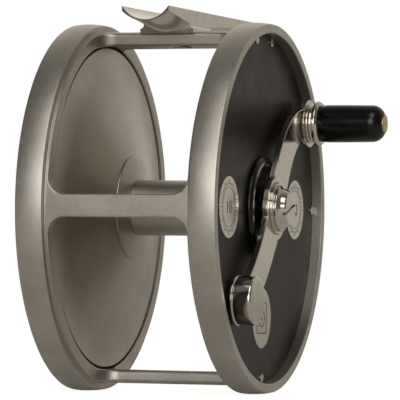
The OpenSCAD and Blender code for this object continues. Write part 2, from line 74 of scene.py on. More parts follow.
def place(x, y, z):
    """A point in mm from the axle, as metres in the model's frame."""
    return (x * MM, y * MM, (z + AXLE_Z) * MM)


def add_to_scene(name, data):
    """A new object in the scene that shows a mesh, light or camera."""
    obj = bpy.data.objects.new(name, data)
    bpy.context.scene.collection.objects.link(obj)
    return obj


def shade_smooth(bm, sharp=None):
    """Smooth faces, with the edges sharper than an angle in degrees kept crisp."""
    for face in bm.faces:
        face.smooth = True
    if sharp is not None:
        for edge in bm.edges:
            edge.smooth = edge.calc_face_angle(0) < math.radians(sharp)


def clean_mesh(name, verts, faces, sharp=None):
    """A closed mesh from points in mm from the axle, with its normals pointing out."""
    mesh = bpy.data.meshes.new(name)
    mesh.from_pydata([place(*v) for v in verts], [], faces)
    bm = bmesh.new()
    bm.from_mesh(mesh)
    bmesh.ops.remove_doubles(bm, verts=bm.verts, dist=1e-7)
    bmesh.ops.recalc_face_normals(bm, faces=bm.faces)
    shade_smooth(bm, sharp)
    bm.to_mesh(mesh)
    bm.free()
    return mesh


def make_piece(mesh, material, body, replaces=(), slot=None, normal_weight=80):
    """Shows a mesh as a piece that rides on a CAD body, with even shading on its flat faces."""
    obj = add_to_scene(mesh.name, mesh)
    mesh.materials.append(material)
    if normal_weight:
        normals = obj.modifiers.new("weighted normals", "WEIGHTED_NORMAL")
        normals.keep_sharp = True
        normals.weight = normal_weight
    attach(obj, body)
    if replaces:
        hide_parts(*replaces)


def rounded(corners, steps=5):
    """A closed outline from (a, b, radius) corners, each with an arc of its radius where that fits."""
    tiny, straight = 1e-6, math.radians(178)
    out = []
    n = len(corners)
    for i in range(n):
        p = Vector(corners[i][:2])
        r = corners[i][2] if len(corners[i]) > 2 else 0
        a = Vector(corners[i - 1][:2]) - p
        b = Vector(corners[(i + 1) % n][:2]) - p
        angle = a.angle(b) if r > 0 and min(a.length, b.length) >= tiny else None
        if angle is None or angle > straight:
            out.append(tuple(p))
            continue
        cut = min(r / math.tan(angle / 2), 0.49 * a.length, 0.49 * b.length)
        r = cut * math.tan(angle / 2)
        a.normalize()
        b.normalize()
        centre = p + (a + b).normalized() * (r / math.sin(angle / 2))
        start = p + a * cut - centre
        end = p + b * cut - centre
        sweep = start.angle_signed(end)
        for k in range(steps + 1):
            t = -sweep * k / steps
            c, s = math.cos(t), math.sin(t)
            out.append((centre.x + start.x * c - start.y * s, centre.y + start.x * s + start.y * c))
    return out


def lathe_data(outline, y=0.0, z=0.0, steps=192):
    """Vertices and faces of a closed (r, x) outline turned about a line along X, which r = 0 lies on."""
    verts, faces, rings = [], [], []
    for r, x in outline:
        if r < 1e-6:
            rings.append([len(verts)])
            verts.append((x, y, z))
        else:
            rings.append(list(range(len(verts), len(verts) + steps)))
            for k in range(steps):
                a = TURN * k / steps
                verts.append((x, y + r * math.cos(a), z + r * math.sin(a)))
    n = len(rings)
    for i in range(n):
        p, q = rings[i], rings[(i + 1) % n]
        if len(p) == 1 and len(q) == 1:
            continue
        for k in range(steps):
            m = (k + 1) % steps
            if len(p) == 1:
                faces.append((p[0], q[m], q[k]))
            elif len(q) == 1:
                faces.append((p[k], p[m], q[0]))
            else:
                faces.append((p[k], p[m], q[m], q[k]))
    return verts, faces


def supported(outline, gap=0.25):
    """Adds a point just inside each end of every long straight stretch, so that its shading stays even."""
    points = []
    for i, p in enumerate(outline):
        q = outline[(i + 1) % len(outline)]
        points.append(p)
        span = math.dist(p, q)
        if span > 4 * gap:
            for t in (gap / span, 1 - gap / span):
                points.append((p[0] + (q[0] - p[0]) * t, p[1] + (q[1] - p[1]) * t))
    return points


def lathe(name, corners, material, body, y=0.0, z=0.0, steps=192, arc_steps=5, **kw):
    """A turned piece from the (r, x, radius) corners of its profile."""
    verts, faces = lathe_data(supported(rounded(corners, arc_steps)), y, z, steps)
    make_piece(clean_mesh(name, verts, faces), material, body, **kw)


def join_data(parts):
    """Several (verts, faces) pairs as one."""
    verts, faces = [], []
    for v, f in parts:
        base = len(verts)
        verts += list(v)
        faces += [tuple(i + base for i in face) for face in f]
    return verts, faces


def plate_from_outline(name, outline, x0, x1, bevel, material, body, **kw):
    """A flat plate from a (y, z) outline between two x values, with its edges rounded."""
    bm = bmesh.new()
    bottom = [bm.verts.new(place(x0, p[0], p[1])) for p in outline]
    face = bm.faces.new(bottom)
    made = bmesh.ops.extrude_face_region(bm, geom=[face])
    top = [g for g in made["geom"] if isinstance(g, bmesh.types.BMVert)]
    bmesh.ops.translate(bm, verts=top, vec=((x1 - x0) * MM, 0, 0))
    bmesh.ops.recalc_face_normals(bm, faces=bm.faces)
    rims = [e for e in bm.edges if abs(e.verts[0].co.x - e.verts[1].co.x) < 1e-7]
    bmesh.ops.bevel(bm, geom=rims, offset=bevel * MM, segments=3, profile=0.5, affect="EDGES")
    shade_smooth(bm, sharp=35)
    mesh = bpy.data.meshes.new(name)
    bm.to_mesh(mesh)
    bm.free()
    make_piece(mesh, material, body, normal_weight=50, **kw)


# ---------------------------------------------------------------- materials


class Nodes:
    """Short-hand for building a material's node tree."""

    def __init__(self, name):
        self.material = bpy.data.materials.new(name)
        self.material.use_nodes = True
        self.tree = self.material.node_tree
        self.shader = self.tree.nodes["Principled BSDF"]
        self.coord = self.tree.nodes.new("ShaderNodeTexCoord")

    def add(self, kind, **values):
        """A new node, with its inputs or its settings given by name."""
        node = self.tree.nodes.new(kind)
        for key, value in values.items():
            if key in node.inputs:
                node.inputs[key].default_value = value
            else:
                setattr(node, key, value)
        return node

    def link(self, a, b):
        self.tree.links.new(a, b)

    def noise(self, scale, detail=3.0, rough=0.55, stretch=None):
        """Noise over the object's own coordinates, with that many cells to the metre."""
        node = self.add("ShaderNodeTexNoise", Scale=scale, Detail=detail, Roughness=rough)
        source = self.coord.outputs["Object"]
        if stretch:
            mapping = self.add("ShaderNodeMapping")
            mapping.inputs["Scale"].default_value = stretch
            self.link(source, mapping.inputs["Vector"])
            source = mapping.outputs["Vector"]
        self.link(source, node.inputs["Vector"])
        return node.outputs["Fac"]

    def ramp(self, value, low, high, out_low, out_high):
        """The value's range from low to high, mapped to another range."""
        node = self.add("ShaderNodeMapRange")
        node.inputs["From Min"].default_value = low
        node.inputs["From Max"].default_value = high
        node.inputs["To Min"].default_value = out_low
        node.inputs["To Max"].default_value = out_high
        self.link(value, node.inputs["Value"])
        return node.outputs["Result"]

    def mean(self, a, b):
        """Half the sum of two values."""
        total = self.add("ShaderNodeMath", operation="ADD")
        half = self.add("ShaderNodeMath", operation="MULTIPLY")
        self.link(a, total.inputs[0])
        self.link(b, total.inputs[1])
        self.link(total.outputs["Value"], half.inputs[0])
        half.inputs[1].default_value = 0.5
        return half.outputs["Value"]

    def colours(self, value, first, second, low=0.3, high=0.7):
        """A blend from the first colour to the second as the value goes from low to high."""
        node = self.add("ShaderNodeValToRGB")
        node.color_ramp.elements[0].position = low
        node.color_ramp.elements[1].position = high
        node.color_ramp.elements[0].color = (*first, 1)
        node.color_ramp.elements[1].color = (*second, 1)
        self.link(value, node.inputs["Fac"])
        return node.outputs["Color"]

    def bump(self, value, strength, distance):
        """A surface normal from a height between 0 and 1. The distance is in metres."""
        node = self.add("ShaderNodeBump", Strength=strength, Distance=distance)
        self.link(value, node.inputs["Height"])
        return node.outputs["Normal"]

    def set(self, **values):
        """Sets or links the shader's sockets, named with _ for a space, and gives the material."""
        for key, value in values.items():
            socket = self.shader.inputs[key.replace("_", " ")]
            if isinstance(value, bpy.types.NodeSocket):
                self.link(value, socket)
            else:
                socket.default_value = value
        return self.material


def satin_metal(name, dark, light, rough):
    """Bead-blasted metal: fine grain, faint clouding and slight polish on the high spots."""
    n = Nodes(name)
    grain = n.noise(3600, 4, 0.7)
    cloud = n.noise(90, 3, 0.5)
    fine = n.noise(1500, 2, 0.6)
    contrast = 0.12
    dark, light = [c * (1 - contrast) for c in dark], [c * (1 + contrast) for c in light]
    colour = n.colours(n.mean(cloud, fine), dark, light)
    roughness = n.ramp(fine, 0.3, 0.7, rough - 0.03, rough + 0.04)
    normal = n.bump(grain, 0.5, 0.00008)
    return n.set(Base_Color=colour, Metallic=1.0, Roughness=roughness, Normal=normal)


def polished_metal(name, dark, light, rough, stretch=(1, 1, 1), scratch=0.05):
    """Polished nickel: smudges, hairline scratches and slightly uneven colour."""
    n = Nodes(name)
    smudge = n.noise(260, 4, 0.6)
    hair = n.noise(2600, 3, 0.6, stretch)
    colour = n.colours(smudge, dark, light)
    roughness = n.ramp(smudge, 0.35, 0.75, rough, rough + 0.07)
    normal = n.bump(hair, scratch, 0.00002)
    return n.set(Base_Color=colour, Metallic=1.0, Roughness=roughness, Normal=normal)


def black_satin(name, base, rough, specular):
    """Matte black anodised plate with a fine blasted grain and faint rubbing."""
    n = Nodes(name)
    grain = n.noise(3000, 4, 0.7)
    rub = n.noise(120, 4, 0.6)
    colour = n.colours(rub, [c * 0.85 for c in base], [c * 1.15 for c in base])
    roughness = n.ramp(rub, 0.3, 0.7, rough - 0.04, rough + 0.04)
    normal = n.bump(grain, 0.12, 0.00005)
    return n.set(Base_Color=colour, Metallic=0.0, Roughness=roughness, Normal=normal,
                 Specular_IOR_Level=specular, Specular_Tint=(1.0, 0.88, 0.76, 1.0))


def black_gloss(name, base, rough):
    """Polished black: very fine swirl marks under a clear gloss."""
    n = Nodes(name)
    swirl = n.noise(700, 4, 0.6)
    colour = n.colours(swirl, [c * 0.8 for c in base], [c * 1.3 for c in base])
    roughness = n.ramp(swirl, 0.3, 0.8, rough, rough + 0.06)
    normal = n.bump(n.noise(2400, 3, 0.6), 0.03, 0.00002)
    return n.set(Base_Color=colour, Metallic=0.0, Roughness=roughness, Normal=normal,
                 Specular_IOR_Level=0.36)


def turned_brass(name):
    """Bronze with fine turning rings."""
    n = Nodes(name)
    rings = n.noise(1800, 3, 0.6, (4, 1, 1))
    colour = n.colours(rings, (0.50, 0.33, 0.16), (0.66, 0.47, 0.26))
    return n.set(Base_Color=colour, Metallic=1.0, Roughness=n.ramp(rings, 0.3, 0.7, 0.26, 0.38),
                 Normal=n.bump(rings, 0.1, 0.00003))


def cork_composite(name):
    """Pressed cork: small brown cells."""
    n = Nodes(name)
    cells = n.add("ShaderNodeTexVoronoi", Scale=1100.0)
    n.link(n.coord.outputs["Object"], cells.inputs["Vector"])
    colour = n.colours(cells.outputs["Distance"], (0.16, 0.08, 0.04), (0.42, 0.26, 0.15), 0.0, 0.6)
    return n.set(Base_Color=colour, Roughness=0.85, Normal=n.bump(cells.outputs["Distance"], 0.4, 0.0001))


def ink(name):
    """Dark, slightly worn ink."""
    n = Nodes(name)
    worn = n.noise(900, 4, 0.6)
    return n.set(Base_Color=n.colours(worn, (0.05, 0.045, 0.04), (0.11, 0.1, 0.09)), Roughness=0.5)


SATIN = satin_metal("satin metal", (0.465, 0.435, 0.388), (0.505, 0.474, 0.426), 0.39)
SPOOL_SATIN = satin_metal("spool satin", (0.47, 0.437, 0.385), (0.51, 0.475, 0.42), 0.36)
NICKEL = polished_metal("polished nickel", (0.60, 0.56, 0.50), (0.68, 0.64, 0.58), 0.10)
FOOT_NICKEL = polished_metal("foot nickel", (0.58, 0.54, 0.48), (0.66, 0.62, 0.56), 0.13, (1, 0.08, 1), 0.08)
DISC_NICKEL = polished_metal("disc nickel", (0.62, 0.58, 0.52), (0.68, 0.64, 0.58), 0.13)
STEEL = polished_metal("ground steel", (0.42, 0.42, 0.43), (0.52, 0.52, 0.53), 0.25)
BLACK_PLATE = black_satin("black plate", (0.0072, 0.0054, 0.004), 0.36, 0.175)
GLOSS_BLACK = black_gloss("gloss black", (0.0032, 0.0028, 0.0024), 0.2)
RESIN = black_gloss("grip resin", (0.0022, 0.0019, 0.0015), 0.17)
BRASS = turned_brass("turned bronze")
CORK = cork_composite("cork composite")
INK = ink("dial ink")


# ---------------------------------------------------------------- frame

# Rounding of the cage's edges beside a rim, inside and outside, and the steps of each rounding
EDGE, OUTER_EDGE = 0.55, 0.3
ARC = 6
# How far a rim's thinner edge lies below its other edge, and its crown above that one
RIM_DROP, RIM_CROWN = 0.3, 0.25


def crown(x0, r0, x1, r1, peak, top, n=16):
    """Points of a rim's gently crowned surface from x0 to x1, highest at a given part of the way."""
    out = []
    for k in range(n + 1):
        t = k / n
        edge, far = (r0, peak) if t < peak else (r1, 1 - peak)
        out.append((top - (top - edge) * ((t - peak) / far) ** 2, x0 + (x1 - x0) * t))
    return out


def rim_outline(side):
    """(r, x) outline of one rim and the cage's lip beside it. side is 1 in front and -1 at the back."""
    inner, outer, peak = (RIM_R, RIM_R - RIM_DROP, 0.4) if side > 0 else (RIM_R - RIM_DROP, RIM_R, 0.6)
    crowned = crown(STEP_X, inner, HALF_W, outer, peak, RIM_R + RIM_CROWN)
    corners = [
        (BORE_R, WINDOW_X, EDGE), (CAGE_R, WINDOW_X, OUTER_EDGE),
        (CAGE_R, STEP_X, 0.25), (inner, STEP_X, 0.3), *crowned[1:-1],
        (outer, HALF_W, 0.3), (LIP_R, HALF_W, 0.3), (LIP_R, PLATE_IN_X, 0.1), (BORE_R, PLATE_IN_X, 0.2),
    ]
    return [(r, side * x) for r, x in rounded(corners, ARC)]


def pillar_edge(width):
    """(x, h, nx, nh) stations along a pillar's edge: its place, half width there and outward direction."""
    half = CAGE_R * math.asin(width / 2 / CAGE_R)
    flare_from, flare_steps = WINDOW_X - CORNER_R, 12
    right = [(flare_from * t, half, 0.0, 1.0) for t in (0, 0.2, 0.4, 0.6, 0.8, 0.94)]
    for k in range(flare_steps + 1):
        a = math.pi / 2 * k / flare_steps
        c, d = math.cos(a), math.sin(a)
        right.append((flare_from + CORNER_R * d, half + CORNER_R * (1 - c), -d, c))
    left = [(-x, h, -nx, nh) for x, h, nx, nh in reversed(right[1:])]
    return left + right


def pillar_data(width, around, edge):
    """One pillar of the cage, at an angle around the axle, with radial sides and rounded edges."""
    across = 14
    angles = [math.pi / 2 * k / ARC for k in range(ARC + 1)]
    corner = [(1 - math.sin(a), 1 - math.cos(a)) for a in angles]
    rows = []
    for x, h, nx, nh in pillar_edge(width):
        # the rounded edges change from this pillar's rounding to the rim's own
        low, top = (edge + (rim_edge - edge) * nx * nx for rim_edge in (EDGE, OUTER_EDGE))
        side = [(x - nx * i * low, h - nh * i * low, BORE_R + d * low) for i, d in corner]
        side += [(x - nx * i * top, h - nh * i * top, CAGE_R - d * top) for i, d in reversed(corner)]
        # side runs from the inner surface's edge round to the outer surface's edge, at +h
        (low_x, low_h, _), (top_x, top_h, _) = side[0], side[-1]
        steps = [1 - 2 * k / across for k in range(1, across)]
        row = side + [(top_x, top_h * t, CAGE_R) for t in steps]
        row += [(px, -ph, pr) for px, ph, pr in reversed(side)]
        row += [(low_x, -low_h * t, BORE_R) for t in steps]
        rows.append(row)
    verts, faces = [], []
    for row in rows:
        for x, s, r in row:
            a = s / CAGE_R + around
            verts.append((x, r * math.cos(a), r * math.sin(a)))
    n = len(rows[0])
    for i in range(len(rows) - 1):
        for k in range(n):
            m = (k + 1) % n
            faces.append((i * n + k, i * n + m, (i + 1) * n + m, (i + 1) * n + k))
    faces.append(tuple(range(n)))
    faces.append(tuple((len(rows) - 1) * n + k for k in range(n)))
    return verts, faces


def reel_frame_shell():
    """Both rims and the four pillars: one to each side along the rod, one below, one under the foot."""
    parts = [lathe_data(rim_outline(side), steps=288) for side in (1, -1)]
    pillars = ((PILLAR_W, 180, 0.55), (PILLAR_W, 0, 0.55), (PILLAR_W, 270, 1.2), (FOOT_PILLAR_W, 90, 0.9))
    for width, degrees, edge in pillars:
        parts.append(pillar_data(width, math.radians(degrees), edge))
    mesh = clean_mesh("reel_frame_shell", *join_data(parts), sharp=50)
    make_piece(mesh, SATIN, "reel_frame", replaces=("frame",), slot="satin_metal")


reel_frame_shell()


# ---------------------------------------------------------------- spool

FLANGE_R, HUB_R, ARBOR_R, ARBOR_HALF = 47.2, 15.3, 8.15, 11.5
HUB_X, FLANGE_X, FLANGE_T = 12.9, 13.3, 1.5
SPINDLE_HOLE_R = 4.0
FLANGE_EDGE = 0.35
SLOPE, BEND_R = math.radians(16.4), 37.0


def flange_outline(side):
    """(r, x) outline of a flange: a straight cone from the hub that bends to face along X at its rim."""
    arc_r = (FLANGE_R - BEND_R) / math.sin(SLOPE)
    bend_x = FLANGE_X + (BEND_R - HUB_R) * math.tan(SLOPE)
    rim_x = bend_x + arc_r * (1 - math.cos(SLOPE))
    corners = [(SPINDLE_HOLE_R, FLANGE_X, 0), (HUB_R, FLANGE_X, 0.15)]
    for k in range(1, 9):
        r = HUB_R + (BEND_R - HUB_R) * k / 9
        corners.append((r, FLANGE_X + (r - HUB_R) * math.tan(SLOPE), 0))
    for k in range(17):
        a = SLOPE * (1 - k / 16)
        inward = arc_r * math.sin(a) * (1 - FLANGE_EDGE / (FLANGE_R - BEND_R)) + FLANGE_EDGE
        corners.append((FLANGE_R - inward, rim_x - arc_r * (1 - math.cos(a)), 0))
    back_x = FLANGE_X + FLANGE_T
    corners += [
        (FLANGE_R, rim_x, FLANGE_EDGE), (FLANGE_R, rim_x + FLANGE_T, FLANGE_EDGE),
        (BEND_R, bend_x + FLANGE_T + 0.3, 0), (HUB_R + 1, back_x + 0.2, 0),
        (HUB_R, back_x, 0), (SPINDLE_HOLE_R, back_x, 0),
    ]
    return [(r, side * x) for r, x in rounded(corners, 4)]


def hub_outline(side):
    """(r, x) outline of a hub: a shallow cone from the arbor to the flange."""
    corners = [
        (SPINDLE_HOLE_R, ARBOR_HALF, 0), (ARBOR_R, ARBOR_HALF, 0), (ARBOR_R + 0.35, ARBOR_HALF + 0.05, 0.3),
        (HUB_R - 0.3, HUB_X - 0.1, 0), (HUB_R, HUB_X + 0.08, 0.25), (HUB_R, FLANGE_X, 0),
        (SPINDLE_HOLE_R, FLANGE_X, 0),
    ]
    return [(r, side * x) for r, x in rounded(corners, 4)]


for side, word in ((1, "front"), (-1, "rear")):
    flange = clean_mesh(f"{word}_spool_flange", *lathe_data(flange_outline(side), steps=256))
    make_piece(flange, SPOOL_SATIN, "spool", replaces=(f"{word}_flange",), slot="satin_metal")
    hub = clean_mesh(f"{word}_hub_disc", *lathe_data(hub_outline(side), steps=128))
    make_piece(hub, SPOOL_SATIN, "spool", replaces=(f"{word}_hub",), slot="satin_metal")
lathe("arbor_tube",
      [(SPINDLE_HOLE_R, -ARBOR_HALF), (ARBOR_R, -ARBOR_HALF, 0.1), (ARBOR_R, -4), (ARBOR_R, 4),
       (ARBOR_R, ARBOR_HALF, 0.1), (SPINDLE_HOLE_R, ARBOR_HALF)],
      SPOOL_SATIN, "spool", steps=128, replaces=("arbor",), slot="satin_metal")


# ---------------------------------------------------------------- crank

# Radii of the plate's three discs; each arm's bend point and its width at the middle and at its end
HUB_DISC_R, KNOB_DISC_R, WEIGHT_DISC_R = 9.2, 7.1, 6.4
KNOB_ARM = ((12.0, 27.6), 13.0, 7.8)
WEIGHT_ARM = ((-11.5, -18.0), 12.0, 10.0)


def arm_sides(end, bend, w_hub, w_end, n=60):
    """Left and right edges of an arm that curves from the middle to an end."""
    left, right = [], []
    for k in range(n + 1):
        t = k / n
        p = Vector(bend) * (2 * t * (1 - t)) + Vector(end) * (t * t)
        d = (Vector(bend) * (1 - 2 * t) + Vector(end) * t).normalized()
        w = (w_hub + (w_end - w_hub) * t) / 2
        left.append((p.x - d.y * w, p.y + d.x * w))
        right.append((p.x + d.y * w, p.y - d.x * w))
    return left, right


def arc_between(y, z, r, first, last):
    """Points of a disc's edge, anticlockwise between two of its points."""
    spacing = 0.35
    a0 = math.atan2(first[1] - z, first[0] - y)
    a1 = math.atan2(last[1] - z, last[0] - y)
    while a1 < a0:
        a1 += TURN
    n = max(4, int((a1 - a0) * r / spacing))
    angles = [a0 + (a1 - a0) * k / n for k in range(1, n)]
    return [(y + r * math.cos(a), z + r * math.sin(a)) for a in angles]


def crank_outline():
    """The plate's outline in (y, z): middle disc, two arms and two end discs, walked once round."""
    hub, knob, weight = (0, 0, HUB_DISC_R), (*KNOB, KNOB_DISC_R), (*WEIGHT, WEIGHT_DISC_R)

    def outside(points, *discs):
        return [(py, pz) for py, pz in points
                if all((py - y) ** 2 + (pz - z) ** 2 > r * r for y, z, r in discs)]

    up_left, up_right = (outside(edge, hub, knob) for edge in arm_sides(KNOB, *KNOB_ARM))
    down_left, down_right = (outside(edge, hub, weight) for edge in arm_sides(WEIGHT, *WEIGHT_ARM))
    return [
        *up_right, *arc_between(*knob, up_right[-1], up_left[-1]),
        *reversed(up_left), *arc_between(*hub, up_left[0], down_right[0]),
        *down_right, *arc_between(*weight, down_right[-1], down_left[-1]),
        *reversed(down_left), *arc_between(*hub, down_left[0], up_right[0]),
    ]


def crank_screw_head():
    """The large slotted screw in the crank's middle, its slot cut across the face."""
    slot_angle, slot_w, slot_half, slot_floor_x = math.radians(18), 0.9, 8.0, WASHER_FACE_X + 2.4
    face_x = WASHER_FACE_X + 3.3
    profile = [
        (0, 26.8), (SCREW_STEM_R, 26.8), (SCREW_STEM_R, WASHER_FACE_X), (6.8, WASHER_FACE_X, 0.1),
        (6.75, WASHER_FACE_X + 0.8, 0.3), (5.75, WASHER_FACE_X + 1.5, 1.5), (5.15, WASHER_FACE_X + 2.9, 0.3),
        (4.9, face_x, 0.2), (0, face_x),
    ]
    head = clean_mesh("crank_screw_head", *lathe_data(rounded(profile, 8), steps=128))
    c, d = math.cos(slot_angle), math.sin(slot_angle)
    corners = [(u * slot_half, v * slot_w / 2) for u, v in ((-1, -1), (1, -1), (1, 1), (-1, 1))]
    block = [(x, u * c - v * d, u * d + v * c) for x in (slot_floor_x, face_x + 0.7) for u, v in corners]
    sides = [(0, 1, 2, 3), (7, 6, 5, 4), (0, 4, 5, 1), (1, 5, 6, 2), (2, 6, 7, 3), (3, 7, 4, 0)]
    cutter = clean_mesh("crank_screw_slot", block, sides)

    pair = [add_to_scene(mesh.name, mesh) for mesh in (head, cutter)]
    cut = pair[0].modifiers.new("slot", "BOOLEAN")
    cut.operation, cut.solver, cut.object = "DIFFERENCE", "EXACT", pair[1]
    bpy.context.view_layer.update()
    made = bpy.data.meshes.new_from_object(pair[0].evaluated_get(bpy.context.evaluated_depsgraph_get()))
    for obj, mesh in zip(pair, (head, cutter)):
        bpy.data.objects.remove(obj)
        bpy.data.meshes.remove(mesh)
    verts = [(v.co.x / MM, v.co.y / MM, v.co.z / MM - AXLE_Z) for v in made.vertices]
    faces = [tuple(p.vertices) for p in made.polygons]
    bpy.data.meshes.remove(made)
    make_piece(clean_mesh("crank_screw_head", verts, faces, sharp=32), NICKEL, "spool",
               replaces=("crank_screw",), slot="nickel")


plate_from_outline("crank_plate", crank_outline(), CRANK_X, CRANK_FACE_X, 0.22, NICKEL, "spool",
                   replaces=("crank",), slot="nickel")
lathe("crank_washer_disc",
      [(SCREW_STEM_R, CRANK_FACE_X), (7.7, CRANK_FACE_X, 0.15), (7.7, WASHER_FACE_X, 0.25),
       (SCREW_STEM_R, WASHER_FACE_X)],
      NICKEL, "spool", steps=128, replaces=("crank_washer",), slot="nickel")


# ---------------------------------------------------------------- handle and counterweight

COLLAR_END_X, FERRULE_X, GRIP_X, GRIP_END_X = 32.8, 33.0, 35.0, 54.4
SPINDLE_SEAT_X, SPINDLE_TIP_X = 52.5, 54.8
GRIP_R, BUSH_R, SPINDLE_R, SPINDLE_HEAD_R = 5.6, 3.2, 2.0, 2.8
WEIGHT_R, WEIGHT_BACK_X, WEIGHT_FACE_X = 7.0, 27.4, 34.0


def grip_profile():
    """The grip's outline: a short taper at the ferrule, a straight body and a well rounded end."""
    end_r, end_x, round_r = 1.65, 50.75, 3.85
    angles = [math.radians(a) for a in range(0, 71, 7)]
    return [
        (BUSH_R, GRIP_X), (5.4, GRIP_X, 0.2), (GRIP_R, GRIP_X + 2, 2), (GRIP_R, GRIP_X + 8),
        *((end_r + round_r * math.cos(a), end_x + round_r * math.sin(a)) for a in angles),
        (2.95, GRIP_END_X), (2.95, GRIP_END_X - 2.1), (BUSH_R, GRIP_END_X - 2.1),
    ]


lathe("handle_collar",
      [(SPINDLE_R, CRANK_FACE_X), (5.6, CRANK_FACE_X, 0.1), (6.0, CRANK_FACE_X + 0.5, 0.4),
       (5.3, COLLAR_END_X - 0.4, 0.3), (5.2, COLLAR_END_X, 0.05), (SPINDLE_R, COLLAR_END_X)],
      NICKEL, "spool", *KNOB, steps=128, replaces=("knob_collar",), slot="nickel")
lathe("handle_ferrule",
      [(BUSH_R, FERRULE_X), (6.1, FERRULE_X, 0.15), (6.7, FERRULE_X + 0.5, 0.5),
       (6.75, GRIP_X - 0.7, 0.5), (6.1, GRIP_X, 0.2), (BUSH_R, GRIP_X)],
      NICKEL, "handle", *KNOB, steps=128, replaces=("ferrule",), slot="nickel")
lathe("handle_grip", grip_profile(),
      RESIN, "handle", *KNOB, steps=128, arc_steps=10, replaces=("grip",), slot="grip_resin")
lathe("handle_spindle_head",
      [(0, CRANK_X), (SPINDLE_R, CRANK_X), (SPINDLE_R, SPINDLE_SEAT_X),
       (SPINDLE_HEAD_R, SPINDLE_SEAT_X, 0.1), (SPINDLE_HEAD_R, SPINDLE_TIP_X - 0.05, 0.3),
       (0.7, SPINDLE_TIP_X, 0.1), (0.5, SPINDLE_TIP_X - 0.15, 0.1), (0, SPINDLE_TIP_X - 0.2)],
      BRASS, "spool", *KNOB, steps=96, replaces=("knob_spindle",), slot="brass")
lathe("counterweight_body",
      [(0, WEIGHT_BACK_X), (7.3, WEIGHT_BACK_X, 0.4), (7.3, 28.35, 0.4), (6.9, 28.55, 0.15),
       (WEIGHT_R, CRANK_X), (WEIGHT_R, WEIGHT_FACE_X, 0.8), (0, WEIGHT_FACE_X)],
      NICKEL, "spool", *WEIGHT, steps=160, replaces=("counterweight",), slot="nickel")
crank_screw_head()


# ---------------------------------------------------------------- side plates

BEAD_X, DISH_X = 28.4, 27.7
lathe("front_boss_cover",
      [(8.0, STEP_X), (11.0, STEP_X, 0.3), (11.0, PLATE_OUT_X), (15.25, PLATE_OUT_X, 0.3), (15.3, 27.5, 0.9),
       (14.6, BEAD_X, 0.9), (13.0, BEAD_X, 0.6), (12.4, DISH_X, 0.4), (7.2, DISH_X, 0.2), (6.8, BEAD_X, 0.2),
       (4.3, BEAD_X, 0.2), (4.3, 27.1), (7.0, 27.1), (7.0, PLATE_OUT_X), (8.0, PLATE_OUT_X)],
      GLOSS_BLACK, "reel_frame", steps=160, replaces=("bearing_cover",), slot="black_gloss")


# ---------------------------------------------------------------- inked marks on the inlaid discs

DISC_FACE_X, INK_T, INK_SUNK = PLATE_OUT_X + 0.15, 0.05, 0.02
DISC_CENTRE_R = 32.0


def stroke(points, width, closed=False):
    """A thin raised line of ink along (y, z) points, on the discs' faces."""
    n = len(points)
    left, right = [], []
    for i, p in enumerate(points):
        a = points[i - 1] if i or closed else p
        b = points[(i + 1) % n] if i < n - 1 or closed else p
        d = (Vector(b) - Vector(a)).normalized() * (width / 2)
        left.append((p[0] - d.y, p[1] + d.x))
        right.append((p[0] + d.y, p[1] - d.x))
    verts = []
    for x in (DISC_FACE_X - INK_SUNK, DISC_FACE_X + INK_T):
        verts += [(x, y, z) for y, z in left] + [(x, y, z) for y, z in right]
    faces = []
    for i in range(n if closed else n - 1):
        j = (i + 1) % n
        faces += [(i, j, n + j, n + i), (2 * n + i, 3 * n + i, 3 * n + j, 2 * n + j),
                  (i, 2 * n + i, 2 * n + j, j), (n + i, n + j, 3 * n + j, 3 * n + i)]
    if not closed:
        faces += [(0, n, 3 * n, 2 * n), (n - 1, 3 * n - 1, 4 * n - 1, 2 * n - 1)]
    return verts, faces


def ring_points(y, z, ry, rz, n=48, first=0, sweep=360):
    """Points of an ellipse, or of the part of it that a sweep in degrees covers."""
    spaces = n if sweep == 360 else n - 1
    angles = [math.radians(first + sweep * k / spaces) for k in range(n)]
    return [(y + ry * math.cos(a), z + rz * math.sin(a)) for a in angles]


def digit(which, y, z):
    """(points, closed) strokes of the numeral 0, 1 or 2, 3.4 mm tall and centred on (y, z)."""
    if which == "0":
        return [(ring_points(y, z, 0.85, 1.55, 28), True)]
    if which == "1":
        return [([(y - 0.55, z + 1.05), (y, z + 1.6), (y, z - 1.7)], False)]
    hook = ring_points(y, z + 0.75, 0.85, 0.85, 12, 165, -205)
    return [(hook + [(y - 0.95, z - 1.6), (y + 1.0, z - 1.6)], False)]


def inked(name, parts):
    """Strokes as one piece of ink on the frame."""
    make_piece(clean_mesh(name, *join_data(parts), sharp=30), INK, "reel_frame", normal_weight=0)


def dial_marks(name, y, z, number):
    """A ring, a circle of ticks and a two-digit number, inked on a disc."""
    ring_r, tick_r, short_tick_r, long_tick_r, ticks, digit_pitch = 5.7, 6.4, 7.2, 7.9, 36, 2.7
    parts = [stroke(ring_points(y, z, ring_r, ring_r, 72), 0.14, True)]
    for k in range(ticks):
        c, d = math.cos(TURN * k / ticks), math.sin(TURN * k / ticks)
        end = long_tick_r if k % 3 == 0 else short_tick_r
        parts.append(stroke([(y + tick_r * c, z + tick_r * d), (y + end * c, z + end * d)], 0.2))
    for i, which in enumerate(number):
        for points, closed in digit(which, y + (i - 0.5) * digit_pitch, z):
            parts.append(stroke(points, 0.42, closed))
    inked(name, parts)


def square_mark(name, y, z):
    """A plain square frame with a ring and a dot in it."""
    half, corner_r = 4.4, 0.3
    ways = ((-1, -1), (1, -1), (1, 1), (-1, 1))
    square = rounded([(y + half * a, z + half * b, corner_r) for a, b in ways], 4)
    inked(name, [
        stroke(square, 0.32, True),
        stroke(ring_points(y, z, 2.5, 2.5, 40), 0.34, True),
        stroke(ring_points(y, z, 0.5, 0.5, 16), 0.5, True),
    ])


